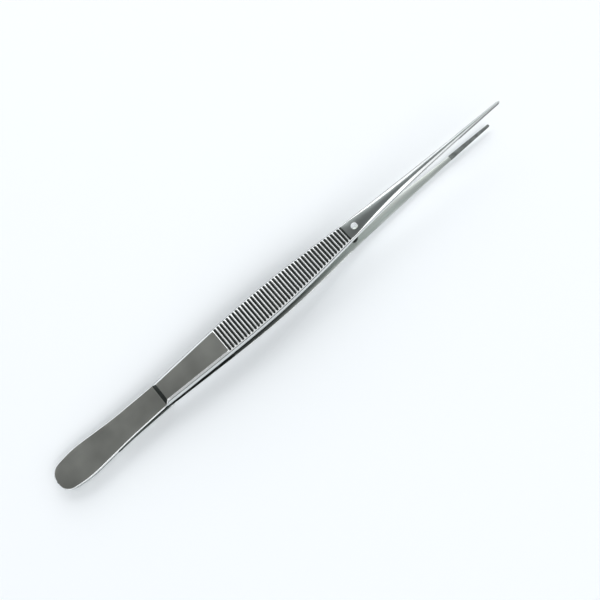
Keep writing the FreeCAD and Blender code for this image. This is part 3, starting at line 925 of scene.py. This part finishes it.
def add_node(tree, kind, values=None, **settings):
    """A shader node with its settings and the values of its inputs."""
    node = tree.nodes.new(f"ShaderNode{kind}")
    for setting, value in settings.items():
        setattr(node, setting, value)
    for entry, value in (values or {}).items():
        node.inputs[entry].default_value = value
    return node


def smooth_rise(tree, edges, lowest=0.0):
    """A value that rises smoothly from its lowest to one between two edges."""
    values = {"From Min": edges[0], "From Max": edges[1], "To Min": lowest}
    return add_node(tree, "MapRange", values, interpolation_type="SMOOTHSTEP")


def link(tree, source, output, target, entry):
    """Wire one node's output into another's input."""
    tree.links.new(source.outputs[output], target.inputs[entry])


def uneven(tree, clouds, tint, mottle):
    """A colour that runs a little darker and lighter with a noise."""
    darker = [part * (1 - mottle) for part in tint] + [1.0]
    lighter = [min(1.0, part * (1 + mottle)) for part in tint] + [1.0]
    shade = add_node(tree, "Mix", {"A": darker, "B": lighter}, data_type="RGBA")
    link(tree, clouds, "Fac", shade, "Factor")
    return shade


def brushed_metal(name, tint, roughness, surface):
    """Metal with the fine lines and the uneven colour of its surface."""
    material = bpy.data.materials.new(name)
    material.use_nodes = True
    tree = material.node_tree
    metal = tree.nodes["Principled BSDF"]
    metal.inputs["Metallic"].default_value = 1.0
    place = add_node(tree, "TexCoord")
    stretch = add_node(tree, "Mapping", {"Scale": [1 / width for width in surface.lines]})
    lines = add_node(tree, "TexNoise", {"Scale": 1.0, "Detail": 3.0, "Roughness": 0.6})
    link(tree, place, "Object", stretch, "Vector")
    link(tree, stretch, "Vector", lines, "Vector")

    polish = add_node(tree, "MapRange", {
        "From Min": 0.3,
        "From Max": 0.7,
        "To Min": roughness * (1 - POLISH_SPREAD),
        "To Max": roughness * (1 + POLISH_SPREAD),
    })
    link(tree, lines, "Fac", polish, "Value")
    link(tree, polish, "Result", metal, "Roughness")

    clouds = add_node(tree, "TexNoise", {"Scale": 1 / surface.patch, "Detail": 2.0})
    link(tree, place, "Object", clouds, "Vector")
    link(tree, uneven(tree, clouds, tint, surface.mottle), "Result", metal, "Base Color")

    bump = add_node(tree, "Bump", {"Strength": 0.35, "Distance": surface.depth})
    link(tree, lines, "Fac", bump, "Height")
    link(tree, bump, "Normal", metal, "Normal")
    return material


def toned_along(material, tint, mottle, turn):
    """Let a metal's colour turn from a tint at the tail side to its own colour at the jaw side."""
    tree = material.node_tree
    metal = tree.nodes["Principled BSDF"]
    own = metal.inputs["Base Color"].links[0].from_node
    clouds = own.inputs["Factor"].links[0].from_node
    place = next(node for node in tree.nodes if node.type == "TEX_COORD")
    parts = add_node(tree, "SeparateXYZ")
    link(tree, place, "Object", parts, "Vector")
    reach = smooth_rise(tree, turn)
    link(tree, parts, "X", reach, "Value")
    mix = add_node(tree, "Mix", data_type="RGBA")
    link(tree, reach, "Result", mix, "Factor")
    link(tree, uneven(tree, clouds, tint, mottle), "Result", mix, "A")
    link(tree, own, "Result", mix, "B")
    link(tree, mix, "Result", metal, "Base Color")
    return material


def arm_metals(finish):
    """The finishes of an arm, in the order of SATIN, GROUND, MILLED_SHADE, INNER and SEAM_AND_SHADE.
    Painted shade darkens the milled and seam finishes, and the inner faces towards the tail.
    """
    satin = brushed_metal("satin steel", finish.steel, finish.steel_roughness, SATIN_SURFACE)
    inner = brushed_metal("inner steel", finish.inner, finish.inner_roughness, INNER_SURFACE)
    return [
        toned_along(satin, finish.steel_tail, SATIN_SURFACE.mottle, SATIN_TURN),
        brushed_metal("ground steel", finish.ground, finish.ground_roughness, GROUND_SURFACE),
        brushed_metal("milled steel", finish.milled_shade, finish.milled_roughness, MILLED_SHADE_SURFACE),
        # The inner faces run from painted shade at the tail to their own colour at the jaws.
        toned_along(inner, finish.inner_dull, INNER_SURFACE.mottle, INNER_TURN),
        brushed_metal("dull steel", finish.dull, finish.milled_roughness, SEAM_AND_SHADE_SURFACE),
    ]


def build_floor(stage):
    """A wide plain floor under the forceps."""
    bm = bmesh.new()
    bmesh.ops.create_grid(bm, x_segments=1, y_segments=1, size=FLOOR_SIZE)
    mesh = bpy.data.meshes.new("studio_floor")
    bm.to_mesh(mesh)
    bm.free()
    floor = add_object("studio_floor", mesh)
    material = bpy.data.materials.new("studio floor")
    material.use_nodes = True
    paint = material.node_tree.nodes["Principled BSDF"]
    paint.inputs["Base Color"].default_value = [*stage.floor, 1.0]
    paint.inputs["Roughness"].default_value = 0.9
    paint.inputs["Specular IOR Level"].default_value = 0.0
    mesh.materials.append(material)


def screened(tree, direction, screen, dark):
    """Strength of the studio light round a dark screen. Beyond the screen's edges it is one."""
    values = {"Location": screen.centre, "Scale": screen.size}
    spread = add_node(tree, "Mapping", values, vector_type="TEXTURE")
    far = add_node(tree, "VectorMath", operation="LENGTH")
    fade = smooth_rise(tree, screen.edges, dark)
    link(tree, direction, "Generated", spread, "Vector")
    link(tree, spread, "Vector", far, "Vector")
    link(tree, far, "Value", fade, "Value")
    return fade


def add_softbox(box, watts):
    """A broad lamp that faces the forceps."""
    lamp = bpy.data.lights.new(box.name, "AREA")
    lamp.shape = "RECTANGLE"
    lamp.size, lamp.size_y = box.size
    lamp.energy = watts
    holder = add_object(box.name, lamp)
    holder.location = box.place
    holder.rotation_euler = (-holder.location).to_track_quat("-Z", "Y").to_euler()


def light_studio(stage):
    """White walls with dark screens overhead, behind the tail and at the camera, and two softboxes."""
    world = bpy.data.worlds.new("studio")
    world.use_nodes = True
    bpy.context.scene.world = world
    tree = world.node_tree
    glow = tree.nodes["Background"]
    glow.inputs["Color"].default_value = (*stage.wall_tint, 1.0)
    direction = add_node(tree, "TexCoord")
    darkest = screened(tree, direction, OVERHEAD_SCREEN, stage.ceiling_light)
    beside = screened(tree, direction, TAIL_SCREEN, stage.side_light)
    front = screened(tree, direction, CAMERA_SCREEN, stage.front_light)
    for other in (beside, front):
        least = add_node(tree, "Math", operation="MINIMUM")
        link(tree, darkest, 0, least, 0)
        link(tree, other, 0, least, 1)
        darkest = least
    rays = add_node(tree, "LightPath")
    seen = add_node(tree, "Math", operation="MAXIMUM")
    link(tree, darkest, 0, seen, 0)
    link(tree, rays, "Is Camera Ray", seen, 1)
    link(tree, seen, "Value", glow, "Strength")

    add_softbox(BACK_SOFTBOX, stage.back_power)
    add_softbox(FRONT_SOFTBOX, stage.fill_power)


def aim_camera(stage):
    """The camera looks down over the tail, as in the photograph."""
    data = bpy.data.cameras.new("camera")
    data.lens = stage.lens
    data.sensor_width = 36.0
    data.clip_start = 0.01
    data.clip_end = 20.0
    camera = add_object("camera", data)
    camera.location = (stage.camera_x, stage.camera_y, stage.camera_z)
    camera.rotation_euler = Euler((stage.pitch, stage.roll, stage.heading), "XYZ")
    bpy.context.scene.camera = camera


def take_place(piece, node):
    """Let a piece stand for its CAD node and ride with the forceps."""
    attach(piece, "root")
    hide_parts(node)


class FORCEPS_OT_arms(bpy.types.Operator):
    """Build both arms in place of their CAD nodes"""

    bl_idname = "forceps.arms"
    bl_label = "Arms"
    bl_options = {"REGISTER", "UNDO"}

    def execute(self, context):
        forceps = context.scene.forceps
        metals = arm_metals(forceps.finish)
        for node, upper in (("upper_arm", True), ("lower_arm", False)):
            take_place(build_arm(forceps, f"{node}_steel", upper, metals), node)
        return {"FINISHED"}


class FORCEPS_OT_guide_pin(bpy.types.Operator):
    """Build the turned guide pin"""

    bl_idname = "forceps.guide_pin"
    bl_label = "Guide pin"
    bl_options = {"REGISTER", "UNDO"}

    def execute(self, context):
        forceps = context.scene.forceps
        finish = forceps.finish
        # The pin's near-black colour is painted shade.
        metal = brushed_metal("turned steel", finish.pin, finish.pin_roughness, PIN_SURFACE)
        take_place(build_guide_pin(forceps, metal), "guide_pin")
        return {"FINISHED"}


class FORCEPS_OT_inserts(bpy.types.Operator):
    """Build the hard-metal inserts of both jaws"""

    bl_idname = "forceps.inserts"
    bl_label = "Jaw inserts"
    bl_options = {"REGISTER", "UNDO"}

    def execute(self, context):
        forceps = context.scene.forceps
        finish = forceps.finish
        metal = brushed_metal("insert metal", finish.insert, finish.insert_roughness, INSERT_SURFACE)
        for node, upper in (("upper_insert", True), ("lower_insert", False)):
            take_place(build_insert(forceps, f"{node}_plate", upper, metal), node)
        return {"FINISHED"}


class FORCEPS_OT_stage(bpy.types.Operator):
    """Set up the floor, the light and the camera"""

    bl_idname = "forceps.stage"
    bl_label = "Stage"
    bl_options = {"REGISTER", "UNDO"}

    def execute(self, context):
        stage = context.scene.forceps.stage
        context.scene.view_settings.view_transform = "Standard"
        build_floor(stage)
        light_studio(stage)
        aim_camera(stage)
        return {"FINISHED"}


class FORCEPS_PT_sidebar(bpy.types.Panel):
    """Lists the pieces and what can be changed about them"""

    bl_idname = "FORCEPS_PT_sidebar"
    bl_label = "Thumb Forceps"
    bl_space_type = "VIEW_3D"
    bl_region_type = "UI"
    bl_category = "Forceps"

    def draw(self, context):
        for operator in OPERATORS:
            self.layout.operator(operator.bl_idname)
        forceps = context.scene.forceps
        for group_name in Forceps.__annotations__:
            box = self.layout.box()
            group = getattr(forceps, group_name)
            box.label(text=group_name.capitalize())
            for size_name in type(group).__annotations__:
                box.prop(group, size_name)


OPERATORS = (FORCEPS_OT_stage, FORCEPS_OT_arms, FORCEPS_OT_guide_pin, FORCEPS_OT_inserts)
GROUPS = (TailSizes, GripSizes, JawSizes, SmallPartSizes, Rest, Finish, Stage, Forceps)


def register():
    """Make the groups, the operators and the panel known, and give each scene its forceps."""
    for item in (*GROUPS, *OPERATORS, FORCEPS_PT_sidebar):
        bpy.utils.register_class(item)
    bpy.types.Scene.forceps = PointerProperty(type=Forceps)


def unregister():
    """Take back what register did."""
    del bpy.types.Scene.forceps
    for item in reversed((*GROUPS, *OPERATORS, FORCEPS_PT_sidebar)):
        bpy.utils.unregister_class(item)


def main():
    """Build everything round the frame."""
    register()
    bpy.ops.forceps.stage()
    bpy.ops.forceps.arms()
    bpy.ops.forceps.guide_pin()
    bpy.ops.forceps.inserts()
    bpy.context.view_layer.update()


if __name__ == "__main__":
    main()
